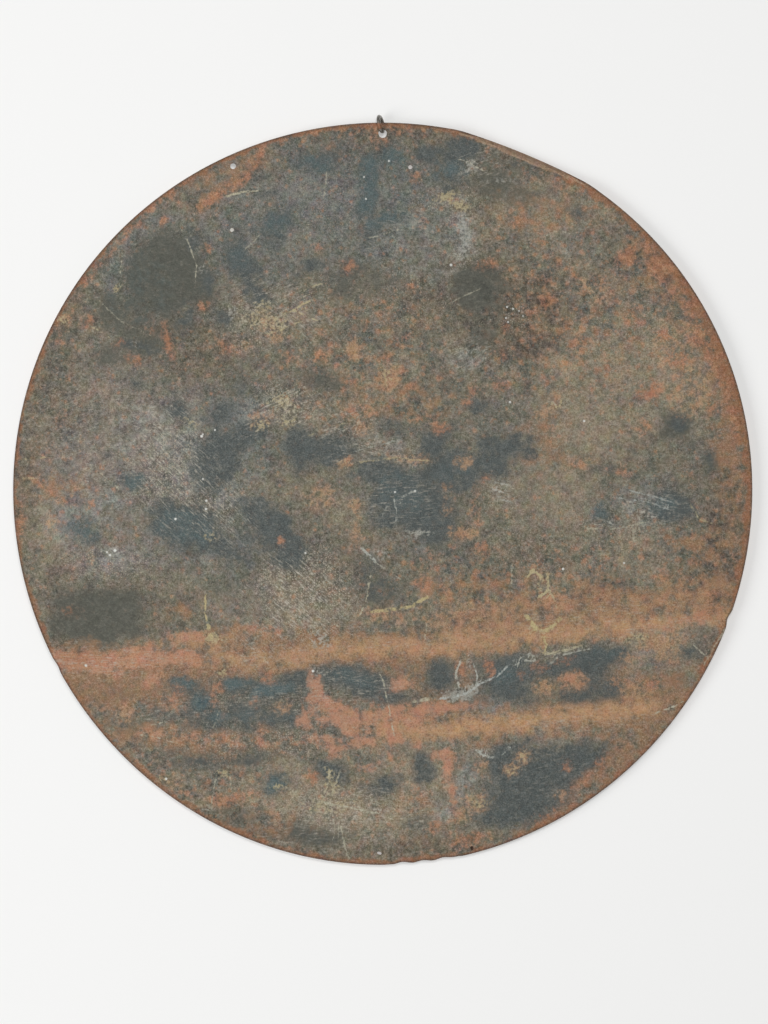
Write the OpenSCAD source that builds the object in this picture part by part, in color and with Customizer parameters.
/* [Disc] */
// Mean radius of the hand-cut sheet-iron disc
disc_r = 200; // [160:1:240]
// Thickness of the sheet
sheet_t = 1.0; // [0.8:0.1:1.4]

/* [Cut rim] */
// Height of the waver that goes round the rim twice
waver_2 = 0.45; // [0:0.05:1]
// Where the twofold waver stands highest, in degrees from the right-hand side
waver_2_at = 88; // [0:1:180]
// Height of the waver that goes round the rim three times
waver_3 = 0.55; // [0:0.05:1]
// Where the threefold waver stands highest
waver_3_at = 29; // [0:1:120]
// Depth of the nick where the upper crease meets the rim on the left
nick_left = 0.5; // [0:0.1:1.5]
// Depth of the nick where the upper crease meets the rim on the right
nick_right = 1.0; // [0:0.1:1.5]
// Mean depth of the torn stretch at the bottom of the rim
torn_depth = 0.85; // [0:0.05:1.2]
// How far the tears go in and out about that depth
torn_ripple = 0.4; // [0:0.05:0.6]

/* [Creases] */
// How far the creases rise to the right, in degrees
crease_rise = 3.7; // [0:0.1:8]
// Distance of the upper crease below the disc's centre
crease_upper = 83; // [60:1:100]
// Distance between the two creases
crease_gap = 41.5; // [30:0.5:60]
// Angle that the band between the creases leans, in degrees
crease_angle = 2.0; // [0.5:0.1:4]
// Half the width over which a crease bends
crease_soft = 5; // [2:0.5:10]

/* [Bent lip] */
// Direction of the middle of the bent-back lip, in degrees from the right-hand side
lip_at = 67.5; // [60:0.5:72]
// Half the angle that the lip covers along the rim
lip_half = 13; // [8:0.5:18]
// Angle that the lip is bent back
lip_bend = 55; // [20:1:80]
// Inner radius of the lip's bend
lip_bend_r = 1.5; // [0.8:0.1:3]

/* [Holes] */
// Diameter of the hanging hole
hang_hole_d = 4.6; // [4:0.1:6]
// Distance from the rim down to the middle of the hanging hole
hang_hole_drop = 5.9; // [5:0.1:9]
// Diameter of the large nail hole at the upper left
nail_hole_large_d = 3.1; // [2:0.1:5]
// Diameter of the small nail hole below it
nail_hole_small_d = 2.1; // [1.5:0.1:4]
// Diameter of the nail hole at the top right of the hanging hole
nail_hole_top_d = 2.2; // [1.5:0.1:4]
// Length of the slanting chisel hole at the bottom
chisel_hole_l = 2.4; // [2:0.1:4]
// Width of the chisel hole
chisel_hole_w = 1.4; // [1:0.1:2]
// Diameter of the blind punch mark at the bottom right
punch_mark_d = 1.8; // [1:0.1:3]

/* [Hanging ring] */
// Diameter of the steel wire
wire_d = 2.0; // [1.5:0.1:2.4]
// Diameter of the ring, measured at the middle of the wire
ring_d = 8.2; // [7.6:0.1:12]
// Gap between the wire's two ends
ring_gap = 0.4; // [0.3:0.1:0.8]
// How far the ring leans to the left of upright, in degrees
ring_lean = 11; // [0:1:15]
// How far the ring is turned about its upright, in degrees
ring_turn = 15; // [0:1:20]

/* [Hidden] */
$fn = 48;

// Angles of the nicks and of the torn stretch, from the right-hand side towards the top
nick_left_at = 208;
nick_right_at = 340;
nick_half = 0.8;
torn_from = 271.5;
torn_to = 281.8;
torn_ease = 1.1;
torn_first = 273.1;
torn_pitch = 3.15;

// Holes, from the disc's centre: to the right, then upwards
nail_hole_large_at = [-80.8, 176.4];
nail_hole_small_at = [-81.4, 142.0];
nail_hole_top_at = [14.9, 175.9];
chisel_hole_at = [-1.8, -194.7];
chisel_hole_slant = -15;
punch_mark_at = [48.2, -191.8];
punch_mark_depth = 0.5;

// The ring's wire stays just clear of the edge that it carries
seat_gap = 0.15;
cut_over = 20;
lip_lap = 1;
lip_steps = 10;

band_drop = crease_gap * tan(crease_angle);
lip_foot = rim_r(lip_at) * cos(lip_half);
lip_bend_mid = lip_bend_r + sheet_t / 2;
lip_arc = lip_bend_mid * lip_bend * PI / 180;
lip_length = 2 * disc_r * sin(lip_half);

hang_hole_y = rim_r(90) - hang_hole_drop;
ring_inner_r = (ring_d - wire_d) / 2;
ring_rise = hang_hole_d / 2 - seat_gap + ring_inner_r;
eye_rise = ring_rise + ring_inner_r;
ring_gap_angle = ring_gap / (ring_d / 2) * 180 / PI;

// The origin is the inside of the ring's crown, where a hook bears
hole_x = eye_rise * sin(ring_lean);
hole_z = -eye_rise * cos(ring_lean);

// A smooth dent in the rim: 1 at its middle and 0 past twice its half width
function dent(a, at, half) = abs(a - at) > 2 * half ? 0 : (1 + cos(90 * (a - at) / half)) / 2;

// 0 below the start, 1 past the end, and an even slope between
function ramp(x, start, end) = min(1, max(0, (x - start) / (end - start)));

// The torn stretch: a shelf with soft ends and three bites in it
function torn(a) =
    ramp(a, torn_from - torn_ease, torn_from + torn_ease)
    * (1 - ramp(a, torn_to - torn_ease, torn_to + torn_ease / 2))
    * (torn_depth + torn_ripple * cos(360 * (a - torn_first) / torn_pitch));

// The rim's radius in each direction: a circle that wavers, less its nicks and tears
function rim_r(a) =
    disc_r
    + waver_2 * cos(2 * (a - waver_2_at))
    + waver_3 * cos(3 * (a - waver_3_at))
    - nick_left * dent(a, nick_left_at, nick_half)
    - nick_right * dent(a, nick_right_at, nick_half)
    - torn(a);

// Directions at which the rim is sampled: closer together where it is nicked or torn
rim_angles = concat(
    [for (a = [0 : 2 : 202]) a],
    [for (a = [204 : 0.5 : 212]) a],
    [for (a = [214 : 2 : 268]) a],
    [for (a = [270 : 0.4 : 284]) a],
    [for (a = [286 : 2 : 334]) a],
    [for (a = [336 : 0.5 : 344]) a],
    [for (a = [346 : 2 : 358]) a]
);

// Depth of a soft bend: flat before it, a parabola across it and a straight slope after it
function soft_bend(s) =
    s < -crease_soft ? 0
    : s > crease_soft ? s
    : pow(s + crease_soft, 2) / (4 * crease_soft);

// How far back the sheet lies at a height s above the disc's centre
function sheet_back(s) =
    tan(crease_angle) * (soft_bend(-crease_upper - s) - soft_bend(-crease_upper - crease_gap - s));

crease_steps = [for (k = [-1 : 0.25 : 1]) k * crease_soft];
sheet_heights = concat(
    [-disc_r - cut_over],
    [for (k = crease_steps) k - crease_upper - crease_gap],
    [for (k = crease_steps) k - crease_upper],
    [disc_r + cut_over]
);

// The disc is drawn lying on its back: X to the right, Y up the sign and Z towards the viewer

module rim_outline() {
    polygon([for (a = rim_angles) rim_r(a) * [cos(a), sin(a)]]);
}

// The whole sheet with its two creases, before the rim is cut
module creased_sheet() {
    last = len(sheet_heights) - 1;
    rotate([0, 0, crease_rise])
        rotate([0, 90, 0])
            linear_extrude(height = 3 * disc_r, center = true)
                polygon(concat(
                    [for (s = sheet_heights) [sheet_back(s) - sheet_t / 2, s]],
                    [for (i = [last : -1 : 0]) [sheet_back(sheet_heights[i]) + sheet_t / 2, sheet_heights[i]]]
                ));
}

// The flat of the sheet, cut to the rim and short of the lip
module cut_sheet() {
    intersection() {
        creased_sheet();
        linear_extrude(height = cut_over, center = true)
            difference() {
                rim_outline();
                rotate(lip_at)
                    translate([lip_foot, -disc_r])
                        square([disc_r, 2 * disc_r]);
            }
    }
}

// Section through the lip's fold, about the fold's axis: a lap on the sheet, the bend and a straight strip
module lip_section() {
    outer_r = lip_bend_r + sheet_t;
    bend_steps = [for (i = [0 : lip_steps]) i * lip_bend / lip_steps];
    strip = cut_over / 2 * [cos(lip_bend), -sin(lip_bend)];
    tip = [sin(lip_bend), cos(lip_bend)];
    polygon(concat(
        [[-lip_lap, outer_r]],
        [for (a = bend_steps) outer_r * [sin(a), cos(a)]],
        [outer_r * tip + strip, lip_bend_r * tip + strip],
        [for (a = bend_steps) lip_bend_r * [sin(lip_bend - a), cos(lip_bend - a)]],
        [[-lip_lap, lip_bend_r]]
    ));
}

// The bent-back lip: its section along the fold, cut by the rim as the rim lies once it is bent
module lip() {
    rotate([0, 0, lip_at])
        translate([lip_foot, 0, -lip_bend_mid])
            intersection() {
                rotate([90, 0, 0])
                    linear_extrude(height = lip_length, center = true)
                        lip_section();
                rotate([0, lip_bend, 0])
                    translate([-lip_foot - lip_arc, 0, 0])
                        linear_extrude(height = cut_over, center = true)
                            rotate(-lip_at)
                                rim_outline();
            }
}

module round_hole(at, d) {
    translate([at[0], at[1], 0])
        cylinder(d = d, h = cut_over, center = true);
}

// A short slot: what a narrow chisel leaves
module chisel_hole() {
    straight = chisel_hole_l - chisel_hole_w;
    translate([chisel_hole_at[0], chisel_hole_at[1], 0])
        rotate([0, 0, chisel_hole_slant]) {
            cube([straight, chisel_hole_w, cut_over], center = true);
            for (side = [-1, 1])
                translate([side * straight / 2, 0, 0])
                    cylinder(d = chisel_hole_w, h = cut_over, center = true);
        }
}

// A punch mark that didn't go through
module punch_mark() {
    face = sheet_t / 2 - band_drop;
    translate([punch_mark_at[0], punch_mark_at[1], face - punch_mark_depth])
        cylinder(d = punch_mark_d, h = cut_over);
}

module moon_disc() {
    color("#6a5a48")
        translate([hole_x, 0, hole_z])
            rotate([90, 0, 0])
                translate([0, -hang_hole_y, 0])
                    difference() {
                        union() {
                            cut_sheet();
                            lip();
                        }
                        round_hole([0, hang_hole_y], hang_hole_d);
                        round_hole(nail_hole_large_at, nail_hole_large_d);
                        round_hole(nail_hole_small_at, nail_hole_small_d);
                        round_hole(nail_hole_top_at, nail_hole_top_d);
                        chisel_hole();
                        punch_mark();
                    }
}

module hanging_ring() {
    color("#8f8d86")
        translate([hole_x, 0, hole_z])
            rotate([0, -ring_lean, 0])
                translate([0, 0, ring_rise])
                    rotate([0, 0, -ring_turn])
                        rotate([90, 0, 90])
                            rotate([0, 0, ring_gap_angle / 2])
                                rotate_extrude(angle = 360 - ring_gap_angle)
                                    translate([ring_d / 2, 0])
                                        circle(d = wire_d);
}

moon_disc();
hanging_ring();
